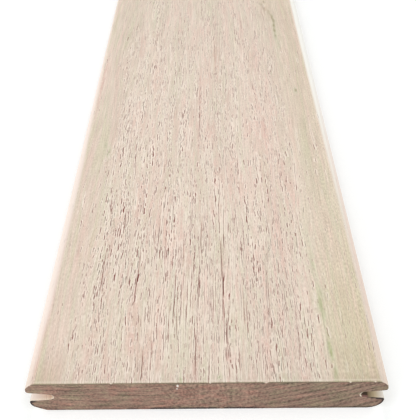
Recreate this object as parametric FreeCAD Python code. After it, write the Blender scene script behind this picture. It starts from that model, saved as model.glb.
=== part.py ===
import FreeCAD, Part
import math
import os

# A grooved hardwood decking board, one piece of stock.
# Sizes are in mm and angles in degrees. The board's length runs along Y, its width along X and
# its underside lies on Z = 0, with the origin at the middle of the underside.

# Driving dimensions of the stock
board_width = 145.0
board_thickness = 21.0
board_length = 1850.0

# Driving dimensions of the long edges
top_edge_round = 5.5
underside_edge_round = 6.3
lip_round = 1.2

# Least flat land kept on the board's side between two rounds
side_land = 0.1

# Driving dimensions of the clip groove in each long edge
groove_height = 10.9
groove_depth = 10.4
groove_root_round = 2.1
groove_flare = 8.0


def groove_apex():
    """Distance from the board's middle to where the groove's two flared sides would meet."""
    root_centre = board_width / 2 - groove_depth + groove_root_round
    return root_centre - groove_root_round / math.sin(math.radians(groove_flare))


def half_mouth():
    """Half the height of the groove's mouth, before its lips are rounded."""
    return (board_width / 2 - groove_apex()) * math.tan(math.radians(groove_flare))


def lip_ease():
    """How far up or down the board's side a lip's round reaches from the groove's mouth."""
    corner_angle = math.radians(90 + groove_flare)
    return lip_round / math.tan(corner_angle / 2)


def edge_corners():
    """Corners of one long edge from the underside to the top: place out, height, radius."""
    side = board_width / 2
    lower_lip = groove_height - half_mouth()
    upper_lip = groove_height + half_mouth()
    underside_wall = lower_lip - lip_ease() - side_land
    top_wall = board_thickness - upper_lip - lip_ease() - side_land
    return [
        (side, 0, min(underside_edge_round, underside_wall)),
        (side, lower_lip, lip_round),
        (groove_apex(), groove_height, groove_root_round),
        (side, upper_lip, lip_round),
        (side, board_thickness, min(top_edge_round, top_wall)),
    ]


def corner_arc(before, corner, after, radius):
    """The arc that rounds off a corner between two straight sides."""
    to_before = (before - corner).normalize()
    to_after = (after - corner).normalize()
    half_angle = to_before.getAngle(to_after) / 2
    reach = radius / math.tan(half_angle)
    inward = (to_before + to_after).normalize()
    middle = corner + inward * (radius / math.sin(half_angle) - radius)
    return Part.Arc(corner + to_before * reach, middle, corner + to_after * reach).toShape()


def section():
    """The board's cross-section as a face: both long edges from one list of corners."""
    right = edge_corners()
    left = [(-out, height, radius) for out, height, radius in reversed(right)]
    corners = right + left
    points = [FreeCAD.Vector(out, 0, height) for out, height, radius in corners]
    count = len(corners)
    arcs = []
    for index in range(count):
        before = points[index - 1]
        after = points[(index + 1) % count]
        arcs.append(corner_arc(before, points[index], after, corners[index][2]))
    edges = []
    for index in range(count):
        arc_end = arcs[index].Vertexes[-1].Point
        next_start = arcs[(index + 1) % count].Vertexes[0].Point
        edges.append(arcs[index])
        edges.append(Part.makeLine(arc_end, next_start))
    return Part.Face(Part.Wire(edges))


def decking_board():
    """The whole board: its section run along its length, between two square-sawn ends."""
    face = section()
    face.translate(FreeCAD.Vector(0, -board_length / 2, 0))
    return face.extrude(FreeCAD.Vector(0, board_length, 0))


os.makedirs("parts", exist_ok=True)
shape = decking_board()
shape.exportStep("parts/decking_board.step")
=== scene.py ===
import math

import bpy
import numpy as np
from mathutils import Matrix, Vector, geometry, noise


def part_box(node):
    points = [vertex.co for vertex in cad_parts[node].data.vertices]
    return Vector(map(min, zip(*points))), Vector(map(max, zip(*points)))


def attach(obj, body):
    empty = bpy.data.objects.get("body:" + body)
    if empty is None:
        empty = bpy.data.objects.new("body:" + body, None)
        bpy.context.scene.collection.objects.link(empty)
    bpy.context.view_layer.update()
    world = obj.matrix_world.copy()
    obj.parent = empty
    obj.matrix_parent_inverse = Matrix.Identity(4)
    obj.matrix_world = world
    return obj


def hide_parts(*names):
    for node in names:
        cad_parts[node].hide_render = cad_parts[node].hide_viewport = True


# The decking board's looks: one finely divided mesh that stands for the CAD node, with
# procedural wood on its planed faces and end grain on its sawn ends. Lengths are in
# millimetres, in the row's axes, and become metres when a mesh is made. Places along the
# board are counted from the photographed end. The floor and the lights are in metres.

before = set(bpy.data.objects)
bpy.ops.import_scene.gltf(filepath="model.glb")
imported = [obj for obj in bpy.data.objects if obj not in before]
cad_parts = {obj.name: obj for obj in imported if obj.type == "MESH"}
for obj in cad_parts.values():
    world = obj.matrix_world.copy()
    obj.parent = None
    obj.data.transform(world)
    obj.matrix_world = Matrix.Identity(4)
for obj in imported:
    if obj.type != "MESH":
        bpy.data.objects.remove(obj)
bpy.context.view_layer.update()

MM = 0.001
NODE = "decking_board"
SAME = 1e-6  # places nearer to each other than this are one place

low_corner, high_corner = np.array(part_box(NODE)) / MM
width, length, thickness = high_corner - low_corner
side = width / 2
near_end = -length / 2

# The long edges, as the part's source has them
top_round = 5.5
underside_round = 6.3
lip_round = 1.2
groove_height = 10.9
groove_depth = 10.4
groove_root = 2.1
groove_flare = math.radians(8.0)
root_centre = side - groove_depth + groove_root
half_mouth = (side - root_centre) * math.tan(groove_flare) + groove_root / math.cos(groove_flare)
lip_ease = lip_round / math.tan((math.pi / 2 + groove_flare) / 2)
lower_lip_top = 6.8

# How finely the section's outline is divided
corner_steps = 12
lip_steps = 5
underside_points = 22

# The camera, placed from the middle of the photographed end's lower edge
camera_place = (2.50, -120.29, 231.63)
camera_pitch = math.radians(44.045)
camera_yaw = math.radians(-0.404)
camera_roll = math.radians(-0.852)
camera_lens = 50.9

# Drying checks in the top face: place across, start and end along, width, depth
checks = [
    (8.6, 72, 80, 0.46, 0.5),
    (7.1, 52, 77, 0.50, 0.35),
    (7.7, 42, 56, 0.80, 0.6),
    (7.7, 23, 67, 0.80, 0.15),
    (8.6, 17, 28, 0.46, 0.28),
    (8.6, 9, 18, 0.46, 0.2),
    (9.5, 1, 8, 0.42, 0.2),
    (12.7, 15, 32, 0.42, 0.12),
    (13.6, 2, 17, 0.46, 0.2),
    (-2.9, 43, 55, 0.42, 0.25),
    (-10.4, 44, 58, 0.42, 0.15),
    (-21.2, 22, 33, 0.50, 0.12),
    (-22.6, 4, 21, 0.42, 0.2),
    (16.3, 26, 47, 0.42, 0.2),
    (4.0, 33, 44, 0.36, 0.15),
    (-2.4, 66, 90, 0.42, 0.3),
    (-4.6, 1, 24, 0.48, 0.3),
    (-6.0, 50, 66, 0.36, 0.2),
    (-10.8, 58, 84, 0.36, 0.2),
    (-12.6, 18, 50, 0.42, 0.2),
    (-14.0, 26, 58, 0.44, 0.3),
    (-16.0, 20, 38, 0.36, 0.2),
    (-19.4, 60, 76, 0.36, 0.2),
    (-23.0, 72, 88, 0.48, 0.3),
    (-24.8, 74, 84, 0.42, 0.3),
    (-31.4, 36, 68, 0.46, 0.3),
    (-36.3, 50, 60, 0.42, 0.2),
    (-40.5, 84, 98, 0.46, 0.3),
    (-47.5, 44, 72, 0.42, 0.3),
    (-48.8, 96, 106, 0.46, 0.3),
    (-26.0, 1, 16, 0.42, 0.3),
    (3.2, 30, 44, 0.36, 0.2),
    (17.4, 22, 40, 0.36, 0.2),
    (20.4, 86, 96, 0.36, 0.2),
    (27.6, 30, 56, 0.36, 0.2),
    (31.0, 4, 16, 0.36, 0.2),
    (38.5, 10, 40, 0.40, 0.2),
    (42.0, 20, 34, 0.36, 0.2),
    (-4.0, 145, 228, 0.30, 0.2),
    (6.2, 242, 268, 0.30, 0.2),
]

# Chips in the top edge of the photographed end: place across, width, depth
chips = [
    (-37.6, 0.4, 0.28),
    (1.6, 0.4, 0.25),
    (23.5, 0.55, 0.45),
    (56.4, 0.45, 0.4),
    (66.4, 0.4, 0.25),
]

# Soft tints on the top face: place across and along, reach across and along, strength
green_tints = [
    (58.0, 30, 10, 50, 0.2),
    (59.0, 110, 8, 70, 0.25),
    (51.3, 2, 1.2, 10, 0.95),
    (50.9, 16, 1.4, 14, 0.95),
    (50.2, 38, 2.4, 20, 0.78),
    (5.2, 2.4, 1.3, 2.0, 0.75),
    (49.6, 62, 2.2, 18, 0.62),
    (46.2, 336, 1.4, 5, 0.95),
    (43.6, 331, 1.5, 6, 0.8),
    (45.6, 325, 1.5, 5, 0.85),
    (48.8, 318, 1.5, 6, 0.85),
    (50.4, 310, 1.6, 7, 1.0),
    (51.3, 303, 1.6, 6, 1.0),
    (50.9, 296, 1.6, 6, 0.95),
    (50.7, 289, 1.6, 6, 1.0),
    (50.9, 280, 1.6, 8, 0.8),
    (51.8, 267, 1.6, 10, 0.62),
    (57.6, 207.3, 1.5, 4.0, 1.0),
    (47.0, 322, 6.0, 24, 0.5),
    (-56.0, 318, 3.0, 30, 0.35),
    (-38.5, 308, 3.5, 28, 0.5),
    (-41.6, 336, 1.2, 8, 0.75),
    (-41.0, 322, 1.0, 6, 0.65),
    (-52.5, 106, 2.6, 14, 0.5),
    (-41.6, 79, 1.1, 3.5, 0.6),
    (-37.0, 66, 1.1, 4, 0.5),
    (-46.5, 92, 2.0, 8, 0.42),
    (-55.2, 145, 1.8, 6, 0.85),
    (-57.6, 151, 1.6, 5, 0.65),
    (-62.0, 192, 2.0, 30, 0.35),
    (-20.0, 215, 4.0, 26, 0.35),
    (8.0, 190, 4.0, 12, 0.35),
    (4.0, 325, 4.0, 18, 0.3),
    (-12.0, 22, 5.0, 26, 0.45),
    (-26.0, 36, 4.0, 20, 0.4),
    (-44.0, 30, 4.0, 20, 0.3),
    (-10.5, 1, 2.0, 3, 0.8),
    (30.0, 1, 6.0, 3, 0.4),
]
pink_tints = [
    (34.0, 160, 9, 70, 0.45),
    (2.0, 162, 4, 12, 0.55),
    (-3.5, 190, 2.0, 45, 0.7),
    (6.5, 250, 2.5, 30, 0.6),
    (11.2, 11.5, 3.0, 2.6, 0.8),
    (8.0, 60, 1.5, 30, 0.2),
    (33.0, 245, 5.0, 26, 0.5),
    (46.0, 326, 5.0, 20, 0.5),
    (-67.6, 220, 1.2, 40, 0.7),
    (-26.0, 100, 8, 40, 0.35),
    (-68.8, 30, 1.0, 60, 0.9),
    (-70.0, 120, 1.2, 60, 0.6),
    (70.2, 60, 1.0, 60, 0.9),
    (70.6, 150, 1.2, 60, 0.6),
]

# Where the pores gather: place and reach as above, strength
pored_bands = [
    (-42.0, 92, 8.0, 60, 1.0),
    (-34.0, 56, 6.0, 24, 1.0),
    (-44.0, 165, 8.0, 44, 0.8),
    (-15.0, 95, 4.5, 50, 1.0),
    (-21.0, 72, 5.0, 22, 0.9),
    (-21.0, 192, 4.0, 18, 0.9),
    (-38.5, 190, 4.0, 24, 0.8),
    (-3.0, 66, 4.0, 18, 0.9),
    (-4.0, 200, 3.0, 60, 0.75),
    (9.0, 145, 3.5, 40, 0.7),
    (31.0, 88, 9.0, 36, 0.85),
    (39.0, 84, 4.0, 20, 1.0),
    (41.0, 142, 7.0, 26, 0.75),
    (36.0, 205, 7.0, 30, 0.7),
    (-14.0, 160, 5.0, 34, 0.7),
    (-37.0, 22, 4.5, 22, 0.8),
    (36.0, 70, 5.0, 18, 1.0),
    (43.5, 8, 3.0, 16, 0.9),
]

# The dark line under the photographed end: place across, strength
under_line = [
    (-72.5, 0.25), (-33.5, 0.3), (-32.5, 0.8), (-29.5, 0.8), (-28.5, 0.2), (-24.0, 0.3), (-23.0, 1.0),
    (-13.5, 1.0), (-12.7, 0.4), (-11.3, 1.0), (3.6, 1.0), (4.6, 0.2), (6.8, 0.2), (7.6, 1.0),
    (21.0, 1.0), (22.0, 0.5), (22.8, 0.9), (24.0, 0.5), (54.0, 0.5), (62.0, 0.7), (72.5, 0.8),
]

# Pale chips on the photographed end: place across and up, reach across and up
pale_spots = [(-11.4, 18.7, 0.6, 1.3), (-11.75, 16.4, 0.4, 0.6)]

# The middle of the tree's growth rings, across and up, and the rings' spacing
pith = (-42.0, 225.0)
ring_spacing = 3.7

# The bake map's width in pixels, and how far before its strip a row of faces may start
map_pixels = 1024
row_slack = 6

# The bake map's strips, in pixels: the side of the board that a strip holds, its span along the
# board, its left and lower corner, its pixels per millimetre along and across, and whether it
# is turned
strips = [
    ("top", 0, 360, 2, 2, 2.35, 2.3, False),
    ("top", 360, 1104, 2, 358, 1.13, 1.13, False),
    ("top", 1104, 1850, 2, 534, 1.13, 1.13, False),
    ("underside", 0, 920, 854, 2, 0.6, 0.6, True),
    ("underside", 920, 1850, 938, 2, 0.6, 0.6, True),
    ("right", 0, 360, 2, 710, 2.35, 1.7, False),
    ("left", 0, 360, 2, 776, 2.35, 1.7, False),
    ("right", 360, 1850, 2, 842, 0.68, 0.6, False),
    ("left", 360, 1850, 2, 868, 0.68, 0.6, False),
]

# The two sawn ends on the bake map: left corner and pixels per millimetre, and how high both lie
near_cap = (2, 4.0)
far_cap = (600, 2.0)
caps_low = 896


def make_camera():
    """The photograph's view: close to one end, looking down along the board."""
    data = bpy.data.cameras.new("view")
    data.lens = camera_lens
    data.clip_start = 0.01
    camera = bpy.data.objects.new("view", data)
    bpy.context.collection.objects.link(camera)
    place = Vector(camera_place) + Vector((0, near_end, 0))
    turn = (
        Matrix.Rotation(-camera_yaw, 4, "Z")
        @ Matrix.Rotation(math.pi / 2 - camera_pitch, 4, "X")
        @ Matrix.Rotation(camera_roll, 4, "Z")
    )
    camera.matrix_world = Matrix.Translation(place * MM) @ turn
    bpy.context.scene.camera = camera


def held(value):
    """A value kept between 0 and 1."""
    return min(1.0, max(0.0, value))


def rough(seed, *place):
    """Smooth noise between about -1 and 1."""
    return noise.noise(Vector((place[0], place[1] if len(place) > 1 else 0.0, seed)))


def arc(centre, radius, start, end, steps):
    """Points on an arc between two angles in radians, both ends with it."""
    angles = np.linspace(start, end, steps + 1)
    return [(centre[0] + radius * math.cos(a), centre[1] + radius * math.sin(a)) for a in angles]


def groove_side(out, up):
    """A point on the groove's upper (up = 1) or lower (up = -1) flared side."""
    rise = groove_root / math.cos(groove_flare) + (out - root_centre) * math.tan(groove_flare)
    return out, groove_height + up * rise


def right_edge():
    """The right long edge of the section, from the underside up to the top face."""
    quarter = math.pi / 2
    lip = side - lip_round
    lower_lip = (lip, groove_height - half_mouth - lip_ease)
    upper_lip = (lip, groove_height + half_mouth + lip_ease)
    root = (root_centre, groove_height)
    points = arc((side - underside_round, underside_round), underside_round, -quarter, 0, corner_steps)
    points += arc(lower_lip, lip_round, 0, quarter - groove_flare, lip_steps)
    points += [groove_side(out, -1) for out in (lip - 2, lip - 4)]
    points += arc(root, groove_root, 3 * quarter - groove_flare, quarter + groove_flare, corner_steps)
    points += [groove_side(out, 1) for out in (lip - 4, lip - 2)]
    points += arc(upper_lip, lip_round, groove_flare - quarter, 0, lip_steps)
    points += arc((side - top_round, thickness - top_round), top_round, 0, quarter, corner_steps)
    return points


def planed_flatter(points):
    """A long edge with its underside corner planed nearly straight, as the left one is."""
    reach, rise, top_inset, share = 5.9, 3.3, 0.76, 0.85
    made = []
    for x, z in points:
        inset = side - x
        if z < rise:
            straight = reach - (reach - top_inset) * z / rise
            inset += share * max(0.0, straight - inset)
        made.append((side - inset, z))
    return made


def top_columns(half):
    """Places across the top face, every millimetre, with three more at each check and chip."""
    spread = {across: wide / 2 for across, start, end, wide, deep in checks}
    spread.update({across: 0.5 for across, wide, deep in chips})
    even = np.arange(1 - half, half - 0.5, 1.0)
    columns = [x for x in even if all(abs(x - across) > 0.6 for across in spread)]
    for across, reach in spread.items():
        columns += [across - reach, across, across + reach]
    return sorted(columns, reverse=True)


def section_outline():
    """The closed section as (across, up) points, counterclockwise from the lower right."""
    right = right_edge()
    left = [(-x, z) for x, z in reversed(planed_flatter(right))]
    top = [(x, thickness) for x in top_columns(right[-1][0])]
    under_half = right[0][0]
    under = [(x, 0.0) for x in np.linspace(-under_half, under_half, underside_points + 2)[1:-1]]
    return np.array(right + top + left + under)


def stations():
    """Places along the board from the photographed end, close together near the ends."""
    close = [0, 0.2, 0.45, 0.8, 1.3, 2.0, 3.0]
    near = np.arange(5, 120, 2.0)
    further = np.arange(120, 360, 4.0)
    rest = np.arange(360, length - 8, 12.0)
    far_close = [length - place for place in reversed(close)]
    return np.array(close + list(near) + list(further) + list(rest) + far_close)


def outward(points):
    """The section's outward direction at each point of its outline."""
    along = np.roll(points, -1, axis=0) - np.roll(points, 1, axis=0)
    along /= np.linalg.norm(along, axis=1)[:, None]
    return np.stack([along[:, 1], -along[:, 0]], axis=1)


def edge_loss(outline, from_end, photographed):
    """How far each point of the outline lies inside the full section, near a sawn end."""
    loss = np.zeros(len(outline))
    for k, (x, z) in enumerate(outline):
        worn = 0.07 + 0.05 * rough(3.1, x / 1.7, z / 1.7) + 0.09 * rough(8.3, x / 0.6, z / 0.6)
        if photographed and z > thickness - 3:
            worn += 0.2 * held((abs(x) - 40) / 18)
        loss[k] = max(0.0, worn) * held(1 - from_end / 0.6) ** 2
        if photographed and z > thickness - 0.5:
            for across, wide, deep in chips:
                reach = math.exp(-(((x - across) / wide) ** 2) - (from_end / 0.9) ** 2)
                loss[k] += deep * reach
    return loss


def check_depth(x, y):
    """The depth of a drying check at a point of the top face, and 1 on its middle line."""
    for across, start, end, wide, deep in checks:
        if abs(x - across) < SAME and start <= y <= end:
            from_middle = 2 * (y - start) / (end - start) - 1
            share = math.sqrt(max(0.0, 1 - from_middle * from_middle))
            share *= 0.75 + 0.5 * rough(across, y / 3)
            return deep * share, min(1.0, 1.3 * share * min(1.0, deep / 0.4))
    return 0.0, 0.0


def patch(places, tints):
    """How strongly soft patches tint points given as (across, along)."""
    strength = np.zeros(len(places))
    for across, along, wide, long, amount in tints:
        away = ((places[:, 0] - across) / wide) ** 2 + ((places[:, 1] - along) / long) ** 2
        strength = np.maximum(strength, amount * np.exp(-1.2 * away))
    return strength


def lip_darkening(x, z):
    """How dark the photographed end's edges are round the lower lips."""
    out = abs(x)
    right = x > 0
    if out < root_centre - 1 or z > groove_height - 1:
        return 0.0
    tip = math.exp(-((out - side) ** 2 + (z - 6.2) ** 2) / 2.6**2)
    if z > lower_lip_top:
        along = (0.85 if right else 0.3) * held((out - root_centre - 0.8) / 1.6)
    else:
        along = (0.75 if right else 0.5) * min(1.0, 0.5 + z / 5)
    return min(1.0, tip + along)


def rim_marks(outline, from_end):
    """Marks beside the photographed end: dark lower lips, pale groove roots, a dark top edge."""
    marks = np.zeros((len(outline), 3))
    fade = held(1 - from_end / 0.7)
    quick = held(1 - from_end / 0.35)
    for k, (x, z) in enumerate(outline):
        marks[k, 0] = lip_darkening(x, z) * (quick if z > lower_lip_top else fade)
        if root_centre - 3 < abs(x) < root_centre - 1.3 and abs(z - groove_height) < 2.6:
            marks[k, 1] = 0.85 * held(1 - from_end / 1.1) if x > 0 else 0.7 * quick
        if z > thickness - 0.6:
            chip = min(1.0, sum(math.exp(-(((x - across) / wide) ** 2)) for across, wide, deep in chips))
            beside = 0.45 * math.exp(-(((from_end - 0.9) / 0.5) ** 2))
            marks[k, 1] = max(0.75 * chip * fade, beside)
            marks[k, 2] = 0.9 * held(1 - from_end / 0.5) * (1 - chip)
    return marks


def cap_mesh(ring, normals):
    """Divides a sawn end into small triangles: the ring, a ring just inside it, and a field."""
    spacing, shake, inset = 1.0, 0.25, 0.55

    def from_ring(point):
        return np.min(np.hypot(*(ring - point).T))

    rng = np.random.default_rng(5)
    field = []
    for x in np.arange(-side + 1, side - 0.5, spacing):
        for z in np.arange(1, thickness - 0.5, spacing):
            field.append((x + rng.uniform(-shake, shake), z + rng.uniform(-shake, shake)))
    inner_ring = [p for p in (ring - normals * inset).tolist() if from_ring(p) > inset * 0.9]
    field = [p for p in field if from_ring(p) > inset + 0.5]
    points = [Vector(p) for p in ring.tolist() + inner_ring + field]
    made = geometry.delaunay_2d_cdt(points, [], [list(range(len(ring)))], 1, SAME)
    return np.array([tuple(v) for v in made[0]]), made[2]


def cap_darkening(outline, point):
    """How dark a point of the photographed end is where it lies just inside a lip."""
    distance = np.hypot(*(outline - point).T)
    nearest = outline[int(np.argmin(distance))]
    if distance.min() >= 0.7:
        return 0.0
    return (0.9 if nearest[1] > lower_lip_top else 0.6) * lip_darkening(*nearest)


def bake_map(mesh, outline, along, quads, places):
    """Lays the long faces out in strips and the two ends beside each other."""
    step = np.linalg.norm(np.roll(outline, -1, axis=0) - outline, axis=1)
    run = np.concatenate([[0], np.cumsum(step)])
    count = len(outline)
    turn = len(right_edge()) - corner_steps - 1
    underside = count - underside_points - 1
    spans = {
        "right": (0, turn),
        "top": (turn, underside - turn),
        "left": (underside - turn, underside),
        "underside": (underside, count),
    }
    corner_rows, corner_columns = np.divmod(quads, count)
    # The last column of faces ends where the outline starts again
    wrapped = (corner_columns == 0) & (corner_columns.max(axis=1, keepdims=True) == count - 1)
    corner_columns = np.where(wrapped, count, corner_columns)
    row = corner_rows.min(axis=1)
    column = corner_columns.min(axis=1)
    uv = np.zeros((len(quads), 4, 2))
    for name, start, end, left, low, fine_along, fine_across, turned in strips:
        first, last = spans[name]
        past = end if end > length - 1 else end - row_slack
        here = (column >= first) & (column < last)
        here &= (along[row] >= start - row_slack) & (along[row] < past)
        u = (along[corner_rows[here]] - along[row[here]].min()) * fine_along
        v = (run[corner_columns[here]] - run[first]) * fine_across
        uv[here] = np.stack([v, u] if turned else [u, v], axis=-1) + (left, low)
    long_loops = len(quads) * 4
    flat = np.zeros((len(mesh.loops), 2))
    flat[:long_loops] = uv.reshape(-1, 2)
    vertex = np.zeros(len(mesh.loops), dtype=np.int32)
    mesh.loops.foreach_get("vertex_index", vertex)
    cap = vertex[long_loops:]
    near = places[cap, 1] < length / 2
    fine = np.where(near, near_cap[1], far_cap[1])
    flat[long_loops:, 0] = (places[cap, 0] + side) * fine + np.where(near, near_cap[0], far_cap[0])
    flat[long_loops:, 1] = places[cap, 2] * fine + caps_low
    layer = mesh.uv_layers.new(name="OFBake")
    layer.data.foreach_set("uv", (flat / map_pixels).astype(np.float32).reshape(-1))


def long_rows(outline, normals, along):
    """The long faces' points row by row, with the rim's marks and the checks' middle lines."""
    shape = (len(along), len(outline))
    verts = np.zeros(shape + (3,))
    marks = np.zeros(shape + (3,))
    cracks = np.zeros(shape)
    on_top = np.nonzero(outline[:, 1] > thickness - SAME)[0]
    for j, y in enumerate(along):
        from_end = min(y, length - y)
        ring = outline.copy()
        for k in on_top:
            # The face is slightly uneven, and its columns wander so that no check runs quite straight
            x = outline[k, 0]
            depth, cracks[j, k] = check_depth(x, y)
            ring[k, 1] -= depth + 0.02 + 0.02 * rough(1.7, x / 4, y / 60)
            ring[k, 0] += 0.5 * rough(5.5, x / 9, y / 16) * min(1.0, (side - 7 - abs(x)) / 4)
        if from_end < 2.5:
            ring -= normals * edge_loss(outline, from_end, y < length / 2)[:, None]
        if y < 9:
            marks[j] = rim_marks(outline, y)
        verts[j, :, 0] = ring[:, 0]
        verts[j, :, 1] = y
        verts[j, :, 2] = ring[:, 1]
    return verts, marks, cracks


def board_mesh():
    """The whole board as one closed mesh, with its marks and tints as point attributes."""
    outline = section_outline()
    normals = outward(outline)
    along = stations()
    verts, marks, cracks = long_rows(outline, normals, along)
    rows, count = cracks.shape
    index = np.arange(rows * count).reshape(rows, count)
    beside = np.roll(index, -1, axis=1)
    quads = np.stack([index[:-1], beside[:-1], beside[1:], index[1:]], axis=-1).reshape(-1, 4)
    faces = quads.tolist()
    places = verts.reshape(-1, 3).tolist()
    rims = marks.reshape(-1, 3).tolist()
    for row, near in ((0, True), (rows - 1, False)):
        points, triangles = cap_mesh(verts[row][:, [0, 2]], normals)
        number = index[row].tolist()
        for x, z in points[count:]:
            number.append(len(places))
            saw = 0.05 + 0.05 * rough(4.4, x / 1.1 + z / 9, z / 14)
            places.append((x, verts[row, 0, 1] + (saw if near else -saw), z))
            rims.append((cap_darkening(outline, (x, z)) if near else 0.0, 0.0, 0.0))
        for triangle in triangles:
            corners = [number[k] for k in triangle]
            faces.append(corners if near else corners[::-1])
    places = np.array(places)
    above = places[:, 2] > groove_height
    tints = np.zeros((len(places), 3))
    tints[:, 0] = patch(places[:, :2], green_tints) * above
    tints[:, 1] = patch(places[:, :2], pink_tints) * above
    tints[: rows * count, 2] = cracks.reshape(-1)
    pored = np.zeros((len(places), 3))
    pored[:, 0] = patch(places[:, :2], pored_bands)
    mesh = bpy.data.meshes.new("board")
    mesh.from_pydata(((places + np.array([0, near_end, 0])) * MM).tolist(), [], faces)
    for name, values in (("rim", np.array(rims)), ("tint", tints), ("pored", pored)):
        layer = mesh.attributes.new(name, "FLOAT_VECTOR", "POINT")
        layer.data.foreach_set("vector", values.astype(np.float32).reshape(-1))
    mesh.polygons.foreach_set("use_smooth", [True] * len(mesh.polygons))
    slots = np.zeros(len(mesh.polygons), dtype=np.int32)
    slots[len(quads) :] = 1
    mesh.polygons.foreach_set("material_index", slots)
    bake_map(mesh, outline, along, quads, places)
    mesh.set_sharp_from_angle(angle=math.radians(50))
    return mesh


class Graph:
    """A material's shader nodes, added and linked one call at a time."""

    def __init__(self, name):
        self.material = bpy.data.materials.new(name)
        self.material.use_nodes = True
        self.tree = self.material.node_tree
        self.tree.nodes.clear()

    def node(self, kind, inputs=None, **settings):
        """Adds a node with its settings, and feeds its inputs, given by name or number."""
        made = self.tree.nodes.new(kind)
        for name, value in settings.items():
            setattr(made, name, value)
        for name, value in (inputs or {}).items():
            self.feed(made.inputs[name], value)
        return made

    def feed(self, socket, value):
        """Links a socket to another's output, or sets it to a plain value."""
        if isinstance(value, bpy.types.NodeSocket):
            self.tree.links.new(value, socket)
        else:
            socket.default_value = value

    def math(self, operation, *values):
        """One step of arithmetic."""
        made = self.node("ShaderNodeMath", operation=operation)
        for place, value in enumerate(values):
            self.feed(made.inputs[place], value)
        return made.outputs[0]

    def chain(self, operation, values):
        """Some values joined by one operation, from the first to the last."""
        made = values[0]
        for value in values[1:]:
            made = self.math(operation, made, value)
        return made

    def add(self, *values):
        return self.chain("ADD", values)

    def times(self, *values):
        return self.chain("MULTIPLY", values)

    def most(self, *values):
        return self.chain("MAXIMUM", values)

    def less(self, value, amount):
        return self.math("SUBTRACT", value, amount)

    def absolute(self, value):
        return self.math("ABSOLUTE", value)

    def swing(self, value, amount):
        """Turns a value between 0 and 1 into one that swings about 0."""
        return self.times(self.less(value, 0.5), amount)

    def ramp(self, value, low, high, to_low=0.0, to_high=1.0, smooth=True):
        """Turns a value's span from low to high into one from to_low to to_high."""
        made = self.node("ShaderNodeMapRange", interpolation_type="SMOOTHSTEP" if smooth else "LINEAR")
        names = ("Value", "From Min", "From Max", "To Min", "To Max")
        for name, number in zip(names, (value, low, high, to_low, to_high)):
            self.feed(made.inputs[name], number)
        return made.outputs[0]

    def mix(self, factor, a, b, blend="MIX"):
        """Mixes two colours."""
        made = self.node("ShaderNodeMix", data_type="RGBA", blend_type=blend, clamp_factor=True)
        self.feed(made.inputs["Factor"], factor)
        for socket, value in (("A", a), ("B", b)):
            target = [s for s in made.inputs if s.name == socket and s.type == "RGBA"][0]
            self.feed(target, value)
        return [s for s in made.outputs if s.type == "RGBA"][0]

    def shaded(self, colour, red, green, blue):
        """A colour with each of its three parts multiplied by a value."""
        shade = self.node("ShaderNodeCombineColor", {0: red, 1: green, 2: blue}).outputs[0]
        return self.mix(1.0, colour, shade, "MULTIPLY")

    def parts(self, vector):
        """The three parts of a vector."""
        return tuple(self.node("ShaderNodeSeparateXYZ", {"Vector": vector}).outputs)

    def own_place(self):
        """The point's place in the board's own axes, in millimetres."""
        coordinates = self.node("ShaderNodeTexCoord").outputs["Object"]
        made = self.node("ShaderNodeVectorMath", {"Scale": 1 / MM}, operation="SCALE")
        self.feed(made.inputs[0], coordinates)
        return made.outputs[0]

    def flat_place(self, across, along):
        """Two measures as one place on a flat sheet."""
        return self.node("ShaderNodeCombineXYZ", {"X": across, "Y": along}).outputs[0]

    def cells(self, place, across, along, shift=0.0):
        """A flat place divided by a cell's size in each direction."""
        made = self.node(
            "ShaderNodeMapping",
            {"Vector": place, "Scale": (1 / across, 1 / along, 1.0), "Location": (shift, shift, 0.0)},
        )
        return made.outputs[0]

    def noise(self, place, across, along, shift=0.0, detail=2.0, roughness=0.5):
        """Smooth noise between 0 and 1 in cells of the given size."""
        made = self.node(
            "ShaderNodeTexNoise",
            {
                "Vector": self.cells(place, across, along, shift),
                "Scale": 1.0,
                "Detail": detail,
                "Roughness": roughness,
            },
            noise_dimensions="2D",
        )
        return made.outputs["Fac"]

    def marks(self, name):
        """The three values of one of the mesh's point attributes."""
        return self.parts(self.node("ShaderNodeAttribute", attribute_name=name).outputs["Vector"])

    def surface(self, colour, roughness, specular, height, strength, distance):
        """Ends the graph in a plain surface whose height gives a fine bump, in metres."""
        bump = self.node("ShaderNodeBump", {"Height": height, "Strength": strength, "Distance": distance})
        shader = self.node(
            "ShaderNodeBsdfPrincipled",
            {
                "Base Color": colour,
                "Roughness": roughness,
                "Normal": bump.outputs[0],
                "Specular IOR Level": specular,
            },
        )
        self.node("ShaderNodeOutputMaterial", {"Surface": shader.outputs[0]})
        return self.material


def seen(red, green, blue):
    """A colour written as it is seen, from 0 to 255, as the shader's linear colour."""

    def channel(value):
        value /= 255
        return value / 12.92 if value <= 0.04045 else ((value + 0.055) / 1.055) ** 2.4

    return channel(red), channel(green), channel(blue), 1.0


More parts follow.
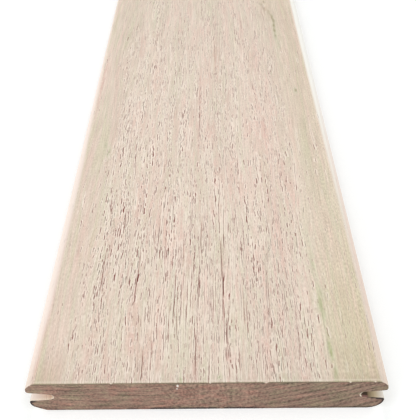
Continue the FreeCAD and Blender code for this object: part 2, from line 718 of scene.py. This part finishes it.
class PlanedGraph(Graph):
    """The long faces' graph, with the places and measures that its parts share."""

    def __init__(self):
        super().__init__("planed_wood")
        self.across, self.along, self.up = self.parts(self.own_place())
        self.out = self.absolute(self.across)
        self.from_end = self.less(self.along, near_end)
        # The place across runs on down the board's sides and sways slowly along it
        down = self.less(thickness, self.up)
        rolled = self.add(self.across, self.times(self.math("SIGN", self.across), down))
        sway = self.noise(self.flat_place(rolled, self.along), 12, 90)
        self.rolled = self.add(rolled, self.swing(sway, 6.0))
        self.flat = self.flat_place(self.rolled, self.along)
        self.swayed = self.add(self.across, self.swing(self.noise(self.flat, 4, 40, 61.5), 9.0))
        # The middle of the top face near the photographed end, where the grain is straightest
        off_centre = self.absolute(self.add(self.across, 4.0))
        self.centre = self.times(
            self.ramp(off_centre, 12, 30, 1.0, 0.0), self.ramp(self.from_end, 75, 130, 1.0, 0.12)
        )
        self.far = self.ramp(self.from_end, 130, 300, smooth=False)
        fade = self.ramp(self.from_end, 60, 320, 1.0, 0.54, smooth=False)
        self.fade = self.most(fade, self.ramp(self.from_end, 350, 550, 0.6, 0.85))
        self.fibre = self.noise(self.flat, 0.55, 16, 7.7)


def base_tints(g):
    """The pale wood, changing slowly between pinkish and straw."""
    broad = g.noise(g.flat, 9, 280, detail=3)
    colour = g.mix(g.ramp(broad, 0.3, 0.7), seen(230, 213, 197), seen(220, 203, 186))
    hue = g.noise(g.flat, 1.3, 13, 5.5, detail=3, roughness=0.65)
    vivid = g.times(g.ramp(g.from_end, 50, 200, 1.0, 0.6), g.ramp(g.out, 46, 56, 1.0, 0.55))
    colour = g.mix(g.times(g.ramp(hue, 0.5, 0.75), vivid, 0.6), colour, seen(228, 190, 178))
    colour = g.mix(g.times(g.ramp(hue, 0.5, 0.25), vivid, 0.55), colour, seen(216, 211, 186))
    drift = g.noise(g.flat, 5, 50, 21.5)
    colour = g.mix(g.times(g.ramp(drift, 0.48, 0.75), vivid, 0.6), colour, seen(226, 191, 177))
    return g.mix(g.times(g.ramp(drift, 0.52, 0.25), vivid, 0.6), colour, seen(217, 209, 184))


def edge_tints(g, colour):
    """Straw, brown and striped tints toward the long edges and the near corners."""
    straw = g.times(g.ramp(g.swayed, 43, 62), g.ramp(g.from_end, 15, 90, 0.78, 0.34))
    colour = g.mix(straw, colour, seen(217, 201, 173))
    right_corner = g.times(g.ramp(g.swayed, 43, 60), g.ramp(g.from_end, 80, 5), 0.55)
    left_corner = g.times(g.ramp(g.swayed, -55, -62), g.ramp(g.from_end, 14, 3), 0.5)
    colour = g.mix(g.most(right_corner, left_corner), colour, seen(205, 188, 158))
    stripe = g.noise(g.flat, 2.4, 70, 71.5)
    beyond = g.ramp(g.out, 47, 57)
    colour = g.mix(g.times(g.ramp(stripe, 0.5, 0.7), beyond, 0.5), colour, seen(213, 206, 176))
    return g.mix(g.times(g.ramp(stripe, 0.5, 0.3), beyond, 0.5), colour, seen(230, 204, 189))


def placed_tints(g, colour, green, pink):
    """The green and pink marks that are placed one by one, broken up by small blotches."""
    blotch = g.ramp(g.noise(g.flat, 1.2, 6, 2.5, detail=3), 0.3, 0.6, 0.35, 1.0)
    soft_green = g.times(g.ramp(green, 0, 0.6, smooth=False), blotch, 0.75)
    colour = g.mix(soft_green, colour, seen(212, 209, 182))
    solid = g.most(blotch, g.ramp(g.from_end, 150, 250, 0.0, 0.8))
    deep_green = g.mix(g.ramp(g.from_end, 60, 200), seen(162, 168, 116), seen(150, 136, 98))
    colour = g.mix(g.times(g.ramp(green, 0.4, 0.95), solid, 0.8), colour, deep_green)
    return g.mix(g.times(pink, blotch, 0.7), colour, seen(220, 176, 164))


def grained(g, colour):
    """The light and dark of the fibres, and of the board's broad parts."""
    hair = g.noise(g.flat, 0.6, 55, 41.7, detail=1)
    grit = g.noise(g.flat, 0.5, 1.6, 17.7, detail=1)
    strands = g.add(g.ramp(g.centre, 0, 1, 0.1, 0.3), g.times(g.far, 0.4))
    shade = g.add(
        g.swing(g.fibre, g.ramp(g.far, 0, 1, 0.42, 0.72, smooth=False)),
        g.swing(grit, g.ramp(g.across, 50, 56, 0.36, 0.48)),
        g.swing(hair, strands),
    )
    dull = g.times(
        g.ramp(g.out, 46, 58),
        g.ramp(g.from_end, 80, 130),
        g.ramp(g.from_end, 330, 250, 0.5, 1.0),
        g.ramp(g.out, 66.5, 64.5),
    )
    right_corner = g.times(g.ramp(g.swayed, 50, 60), g.ramp(g.from_end, 6, 1))
    shade = g.times(
        g.add(g.times(shade, g.fade), 1.0),
        g.ramp(g.from_end, 0, 5, 0.95, 1.0),
        g.ramp(g.from_end, 0, 24, 0.945, 1.0),
        g.ramp(g.from_end, 60, 110, 1.0, 1.015),
        g.ramp(g.from_end, 190, 280, 1.0, 0.987),
        g.ramp(right_corner, 0, 1, 1.0, 0.94),
        g.ramp(dull, 0, 1, 1.0, 0.968),
    )
    # Darker wood is a little redder
    change = g.less(shade, 1.0)
    return g.shaded(colour, shade, g.add(g.times(change, 1.09), 1.0), g.add(g.times(change, 1.18), 1.0))


def pore_shares(g):
    """The share of cells that hold a weak, a strong and a long pore."""
    band = g.noise(g.flat, 5.0, 130, 3.3)
    patchy = g.noise(g.flat, 8.0, 26, 6.3)
    rows = g.ramp(g.noise(g.flat, 1.25, 70, 27.3, detail=1), 0.36, 0.6, 0.12, 1.0)
    inside = g.times(g.ramp(g.across, -60, -48, 0.2, 1.1), g.ramp(g.across, 41, 52, 1.0, 0.2))
    thinned = g.most(g.ramp(g.from_end, 190, 320, 1.0, 0.6), g.ramp(g.from_end, 350, 550, 0.6, 0.95))
    gathered = g.ramp(g.marks("pored")[0], 0.25, 0.75, 0.0, 1.2)
    weak = g.add(g.ramp(band, 0.3, 0.7, 0.25, 0.9), g.ramp(patchy, 0.3, 0.7, 0.0, 0.6))
    weak = g.most(g.times(weak, g.ramp(g.from_end, 30, 90, 1.0, 0.78)), gathered)
    weak = g.times(weak, inside, rows, thinned)
    strong = g.times(weak, g.ramp(g.centre, 0, 1, 1.0, 0.6))
    long = g.times(inside, g.ramp(g.centre, 0, 1, 0.25, 1.0))
    return weak, strong, long


def pores(g, flat, across, along, half_width, half_length, share, seed):
    """Open vessels along the grain in a share of the cells: dark core, pale sheath and tone."""
    place = g.cells(flat, across, along, seed)
    cells = g.node("ShaderNodeTexVoronoi", {"Vector": place, "Scale": 1.0}, voronoi_dimensions="2D")
    chance = g.node("ShaderNodeSeparateColor", {"Color": cells.outputs["Color"]})
    kept = g.ramp(g.less(share, chance.outputs[0]), 0.0, 0.08)
    away = g.node("ShaderNodeVectorMath", {0: place, 1: cells.outputs["Position"]}, operation="SUBTRACT")
    cells_aside, cells_ahead, _ = g.parts(away.outputs[0])
    aside = g.times(g.absolute(cells_aside), across)
    ahead = g.times(g.absolute(cells_ahead), along)
    scale = g.ramp(chance.outputs[1], 0, 1, 0.7, 1.3, smooth=False)
    wide = g.times(scale, half_width)
    long = g.times(scale, half_length)
    core = g.times(kept, g.ramp(aside, wide, g.times(wide, 0.35)), g.ramp(ahead, long, g.times(long, 0.5)))
    sheath = g.times(
        g.ramp(aside, g.times(wide, 5.2), g.times(wide, 1.8)),
        g.ramp(ahead, g.times(long, 1.1), g.times(long, 0.8)),
    )
    return core, g.times(kept, sheath, g.less(1.0, core)), chance.outputs[2]


def pored_wood(g, colour):
    """Lays pores of three kinds over a colour. Returns it with how deep they are sunk."""
    weak_share, strong_share, long_share = pore_shares(g)
    frayed = g.swing(g.noise(g.flat, 1.6, 4.0, 51.0), 0.5)
    torn = g.flat_place(g.add(g.rolled, frayed), g.along)
    grow = g.ramp(g.from_end, 30, 260, 1.0, 1.2, smooth=False)
    stretch = g.ramp(g.far, 0, 1, 1.0, 1.5, smooth=False)
    slim = g.ramp(g.from_end, 20, 90, 0.155, 0.18)
    strong, strong_sheath, strong_tone = pores(
        g, torn, 1.0, 7.5, g.times(grow, slim), g.times(stretch, 2.6), strong_share, 3.1
    )
    weak, weak_sheath, weak_tone = pores(
        g, torn, 0.8, 4.5, g.times(grow, 0.17), g.times(stretch, 1.2), weak_share, 9.7
    )
    long, long_sheath, long_tone = pores(g, torn, 1.2, 44, g.times(grow, 0.17), 12.0, long_share, 14.9)
    long = g.times(long, g.ramp(g.noise(g.flat, 1.0, 6.0, 31.0, detail=1), 0.3, 0.55, 0.35, 1.0))

    lit = g.add(g.ramp(g.from_end, 40, 120, 0.47, 0.64), g.ramp(g.across, 5, -25, 0.0, 0.12))
    lit = g.times(lit, g.ramp(g.from_end, 200, 310, 1.0, 0.6))
    sheath = g.most(strong_sheath, long_sheath, g.times(weak_sheath, 0.6))
    colour = g.mix(g.times(sheath, lit), colour, seen(253, 240, 225))

    boldest = g.times(g.ramp(g.from_end, 50, 80), g.ramp(g.from_end, 150, 110), 0.18)
    bold = g.add(g.ramp(g.from_end, 30, 60, 0.94, 1.0), boldest, g.ramp(g.across, 0, -25, 0.0, 0.1))
    layers = (
        (g.times(long, g.ramp(long_tone, 0, 1, 0.72, 0.24)), long_tone),
        (g.times(weak, bold, g.ramp(weak_tone, 0, 1, 0.7, 0.3)), weak_tone),
        (g.times(strong, bold, g.ramp(strong_tone, 0, 1, 1.0, 0.45)), strong_tone),
    )
    for amount, tone in layers:
        core_colour = g.mix(g.ramp(tone, 0.5, 0.8), seen(124, 46, 36), seen(80, 62, 40))
        colour = g.mix(g.times(amount, g.fade), colour, core_colour)
    return colour, g.most(strong, long, g.times(weak, 0.6))


def groove_walls_lit_and_shaded(g, colour):
    """The clip grooves' walls, in painted light and shade: pale on the left, and dark toward the root on the
    right.
    """
    inside = g.times(
        g.ramp(g.out, root_centre - 2.2, root_centre - 1.0), g.ramp(g.up, 14.4, 14.0), g.ramp(g.up, 7.2, 7.6)
    )
    # Painted light and shade on the left walls: paler toward the mouth where light falls in, darker toward
    # the root
    left_depth = g.ramp(g.out, root_centre - 1, side, smooth=False)
    left_side = g.mix(left_depth, seen(214, 184, 162), seen(247, 237, 229))
    left_side = g.mix(g.ramp(g.from_end, 1.4, 0.3, 0.0, 0.5), left_side, seen(250, 238, 216))
    thin_line = g.ramp(g.absolute(g.less(g.out, 63.7)), 0.6, 0.1, 0.0, 0.3)
    left_side = g.mix(thin_line, left_side, seen(176, 152, 126))
    lit_from = 68.7
    # Painted shade on the right walls: darker toward the root near the end, plain wood colour further along
    right_depth = g.ramp(g.out, root_centre + 0.6, lit_from, smooth=False)
    right_side = g.mix(right_depth, seen(98, 76, 38), seen(200, 183, 150))
    right_side = g.mix(g.ramp(g.out, lit_from, side, smooth=False), right_side, seen(236, 232, 228))
    right_side = g.mix(g.ramp(g.from_end, 8, 30), right_side, seen(226, 208, 188))
    walls = g.mix(g.math("GREATER_THAN", g.across, 0.0), left_side, right_side)
    colour = g.mix(g.times(inside, 0.9), colour, walls)
    # A painted shadow in the right root's hollow near the end
    hollow = g.times(
        g.ramp(g.across, root_centre - 1.5, root_centre - 0.9),
        g.ramp(g.across, root_centre + 1.9, root_centre + 0.9),
        inside,
        g.ramp(g.from_end, 30, 8),
    )
    shadow = g.mix(g.ramp(g.from_end, 0.6, 1.1), seen(140, 102, 96), seen(66, 50, 38))
    return g.mix(g.times(hollow, 0.92), colour, shadow)


def rolled_edge_highlights(g, colour):
    """The rounded top edges, planed smooth, with a painted highlight: near-white colour where light and its
    reflection fall on them.
    """
    over = g.ramp(g.up, 13.0, 15.0)
    unseen = g.ramp(g.from_end, 340, 520, 1.0, 0.3)
    left_start = g.add(
        g.ramp(g.from_end, 0, 40, -67.8, -66.8), g.ramp(g.from_end, 120, 250, 0.0, -2.2, smooth=False)
    )
    left = g.times(
        over,
        g.ramp(g.across, left_start, g.less(left_start, 2.6)),
        g.ramp(g.from_end, 0, 40, 0.58, 0.88),
        g.ramp(g.from_end, 210, 290, 1.0, 0.6),
        unseen,
    )
    colour = g.mix(left, colour, seen(247, 232, 222))
    # The right round-over's painted highlight grows stronger away from the photographed end
    right_start = g.ramp(g.from_end, 60, 300, 67.6, 66.2, smooth=False)
    right = g.times(
        over,
        g.ramp(g.from_end, 5, 260, 0.28, 1.0),
        unseen,
        g.ramp(g.across, right_start, g.add(right_start, 2.0)),
    )
    colour = g.mix(right, colour, seen(252, 250, 242))
    outer = g.times(over, g.ramp(g.across, 69.4, 70.2), g.ramp(g.from_end, 20, 260, 0.55, 0.8), unseen)
    outer_colour = g.mix(g.ramp(g.from_end, 60, 260), seen(230, 208, 194), seen(240, 239, 233))
    return g.mix(outer, colour, outer_colour)


def planed_wood():
    """The pale, planed and pored long faces."""
    g = PlanedGraph()
    green, pink, crack = g.marks("tint")
    colour = edge_tints(g, base_tints(g))
    colour = placed_tints(g, colour, green, pink)
    colour = grained(g, colour)
    colour, sunk = pored_wood(g, colour)
    colour = g.mix(g.ramp(crack, 0.0, 0.4, 0.0, 0.5), colour, seen(196, 132, 120))
    colour = g.mix(g.ramp(crack, 0.1, 0.6, 0.0, 0.95), colour, seen(114, 26, 20))
    colour = groove_walls_lit_and_shaded(g, colour)
    colour = rolled_edge_highlights(g, colour)
    rim_dark, rim_pale, rim_top = g.marks("rim")
    colour = g.mix(g.ramp(rim_top, 0.2, 0.9), colour, seen(150, 140, 112))
    colour = g.mix(g.ramp(rim_pale, 0.1, 0.9), colour, seen(238, 228, 210))
    colour = g.mix(g.ramp(rim_dark, 0.05, 0.8), colour, seen(56, 42, 40))
    height = g.less(g.times(g.fibre, 0.4), sunk)
    roughness = g.ramp(g.fibre, 0.3, 0.7, 0.55, 0.7)
    return g.surface(colour, roughness, specular=0.35, height=height, strength=0.6, distance=0.00018)


def end_wood(g, flat, across, up):
    """The sawn wood's colour with its growth rings, rays and saw marks, and its height."""
    sideways = g.math("POWER", g.less(across, pith[0]), 2.0)
    above = g.math("POWER", g.less(pith[1], up), 2.0)
    radius = g.add(g.math("SQRT", g.add(sideways, above)), g.times(g.noise(flat, 26, 26, 1.3), 3.0))
    ring = g.flat_place(across, radius)

    off_middle = g.ramp(g.absolute(g.less(across, 2.0)), 12, 26)
    phase = g.add(g.times(radius, 2 * math.pi / ring_spacing), g.times(g.noise(ring, 36, 10, 0.7), 7.0))
    overtone = g.math("SINE", g.add(g.times(phase, 2.0), 1.2))
    bands = g.add(g.math("SINE", phase), g.times(overtone, 0.35))
    bands = g.times(bands, g.ramp(g.noise(ring, 16.0, 3.0, 5.1), 0.3, 0.6, 0.5, 1.0))
    band_depth = g.add(g.ramp(off_middle, 0, 1, 0.06, 0.17), g.ramp(across, 15, 40, 0.0, 0.05))
    streaks = g.noise(ring, 12.0, 0.65, 4.1)
    rays = g.noise(flat, 1.25, 2.4, 12.6, detail=1)
    grit = g.noise(flat, 1.05, 0.7, 2.2, detail=1)
    tone = g.add(
        g.times(bands, band_depth),
        1.07,
        g.swing(streaks, g.ramp(off_middle, 0, 1, 0.8, 1.4)),
        g.swing(rays, g.ramp(off_middle, 0, 1, 1.25, 0.7)),
        g.swing(grit, 1.0),
        g.swing(g.noise(flat, 11, 7, 33.3), 0.5),
    )
    tone = g.times(tone, g.ramp(across, 10, 45, 0.81, 0.73))

    hue = g.noise(ring, 4.0, 1.3, 8.8, detail=3, roughness=0.65)
    hue = g.add(hue, g.swing(g.noise(flat, 9, 5, 17.4), 0.9))
    hue = g.less(hue, g.ramp(across, 10, 45, -0.05, 0.1))
    hue = g.less(hue, g.ramp(across, -20, -50, 0.0, 0.07))
    colour = g.mix(g.ramp(hue, 0.5, 0.8, 0.0, 0.52), seen(161, 132, 115), seen(178, 127, 112))
    colour = g.mix(g.ramp(hue, 0.5, 0.2, 0.0, 0.58), colour, seen(150, 140, 112))
    return g.shaded(colour, tone, tone, tone), g.add(streaks, grit)


def under_shadow(g, flat, across, up):
    """The dark line along an end's lower edge, with gaps and a wavering height."""
    line = g.node("ShaderNodeValToRGB", {0: g.ramp(across, -side, side, smooth=False)})
    stops = line.color_ramp.elements
    for place, amount in under_line[1:-1]:
        stops.new((place + side) / width)
    for stop, (place, amount) in zip(stops, under_line):
        stop.color = (amount, amount, amount, 1.0)
    low = g.ramp(g.add(up, g.times(g.noise(flat, 3.0, 3.0, 9.6), 0.4)), 1.8, 1.3)
    return g.times(line.outputs[0], low)


def spot(g, flat, place, reach):
    """A small soft-edged oval."""
    away = g.node("ShaderNodeVectorMath", {0: flat, 1: (*place, 0.0)}, operation="SUBTRACT").outputs[0]
    away = g.node("ShaderNodeVectorMath", {0: away, 1: (*reach, 1.0)}, operation="DIVIDE").outputs[0]
    away = g.node("ShaderNodeVectorMath", {0: away}, operation="LENGTH").outputs["Value"]
    return g.ramp(away, 1.0, 0.5)


def end_grain():
    """The brown sawn ends, with the growth rings as shallow arcs round the tree's middle."""
    g = Graph("end_grain")
    across, along, up = g.parts(g.own_place())
    flat = g.flat_place(across, up)
    photographed = g.math("LESS_THAN", along, 0.0)
    colour, height = end_wood(g, flat, across, up)
    wavering = g.add(up, g.times(g.noise(flat, 2.0, 2.0, 6.6), 0.5))
    top_edge = g.ramp(wavering, thickness - 0.8, thickness - 0.2)
    colour = g.mix(g.times(top_edge, 0.6), colour, seen(104, 98, 78))
    under = g.times(under_shadow(g, flat, across, up), photographed)
    colour = g.mix(g.times(under, 0.82), colour, seen(54, 48, 50))
    for x, z, wide, high in pale_spots:
        pale = g.times(spot(g, flat, (x, z), (wide, high)), photographed)
        colour = g.mix(g.times(pale, 0.9), colour, seen(244, 236, 226))
    rim_dark, rim_pale, _ = g.marks("rim")
    colour = g.mix(g.ramp(rim_pale, 0.2, 0.8), colour, seen(238, 224, 204))
    colour = g.mix(g.ramp(rim_dark, 0.1, 0.85), colour, seen(50, 38, 38))
    return g.surface(colour, 0.8, specular=0.25, height=height, strength=0.5, distance=0.0003)


def make_board():
    mesh = board_mesh()
    mesh.materials.append(planed_wood())
    mesh.materials.append(end_grain())
    board = bpy.data.objects.new("board", mesh)
    bpy.context.collection.objects.link(board)
    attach(board, "root")
    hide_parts(NODE)


def make_floor():
    """A plain pale floor that shows white to the camera and keeps the board's soft shadow."""
    reach = 12.0
    mesh = bpy.data.meshes.new("floor")
    corners = [(-reach, -reach, 0), (reach, -reach, 0), (reach, reach, 0), (-reach, reach, 0)]
    mesh.from_pydata(corners, [], [(0, 1, 2, 3)])
    floor = bpy.data.objects.new("floor", mesh)
    floor.location.z = -0.0002
    bpy.context.collection.objects.link(floor)
    g = Graph("pale_floor")
    shader = g.node("ShaderNodeBsdfPrincipled", {"Base Color": (0.78, 0.8, 0.805, 1), "Roughness": 0.9})
    path = g.node("ShaderNodeLightPath")
    direct = g.most(
        path.outputs["Is Camera Ray"], path.outputs["Is Glossy Ray"], path.outputs["Is Transmission Ray"]
    )
    across, along, _ = g.parts(g.node("ShaderNodeTexCoord").outputs["Object"])
    aside, ahead = g.absolute(across), g.absolute(along)
    away = g.most(g.ramp(ahead, 1.0, 1.6), g.ramp(aside, 0.12, 0.6))
    # The glow dips in a thin strip beside both long sides of the board: a painted shadow on the floor
    beside = g.times(
        g.ramp(aside, 0.083, 0.075), g.ramp(aside, 0.0715, 0.0735), g.math("LESS_THAN", ahead, 0.935)
    )
    strength = g.less(g.ramp(away, 0, 1, 0.345, 0.5), g.times(beside, 0.1))
    glow = g.node("ShaderNodeEmission", {"Strength": g.times(direct, strength)})
    both = g.node("ShaderNodeAddShader", {0: shader.outputs[0], 1: glow.outputs[0]})
    g.node("ShaderNodeOutputMaterial", {"Surface": both.outputs[0]})
    mesh.materials.append(g.material)


def area_light(name, place, aim, size, power):
    data = bpy.data.lights.new(name, "AREA")
    data.shape = "RECTANGLE"
    data.size, data.size_y = size
    data.energy = power
    light = bpy.data.objects.new(name, data)
    light.location = place
    light.rotation_euler = (Vector(aim) - Vector(place)).to_track_quat("-Z", "Y").to_euler()
    bpy.context.collection.objects.link(light)


def make_lights():
    """Plain soft studio light: a pale world, whiter where the camera sees it, and two lamps."""
    world = bpy.data.worlds.new("studio")
    world.use_nodes = True
    tree = world.node_tree
    tree.nodes.clear()
    backdrop = tree.nodes.new("ShaderNodeBackground")
    backdrop.inputs["Color"].default_value = (1, 1, 1, 1)
    path = tree.nodes.new("ShaderNodeLightPath")
    strength = tree.nodes.new("ShaderNodeMapRange")
    strength.inputs["To Min"].default_value = 0.78
    strength.inputs["To Max"].default_value = 1.0
    tree.links.new(path.outputs["Is Camera Ray"], strength.inputs["Value"])
    tree.links.new(strength.outputs[0], backdrop.inputs["Strength"])
    output = tree.nodes.new("ShaderNodeOutputWorld")
    tree.links.new(backdrop.outputs[0], output.inputs["Surface"])
    bpy.context.scene.world = world
    aim = (0, -0.8, 0)
    lamp_size = (2.0, 1.2)
    area_light("left", (-2.2, -1.6, 1.1), aim, lamp_size, 25)
    area_light("right", (2.2, -1.6, 0.9), aim, lamp_size, 18)


bpy.context.scene.view_settings.view_transform = "Standard"
make_board()
make_floor()
make_lights()
make_camera()
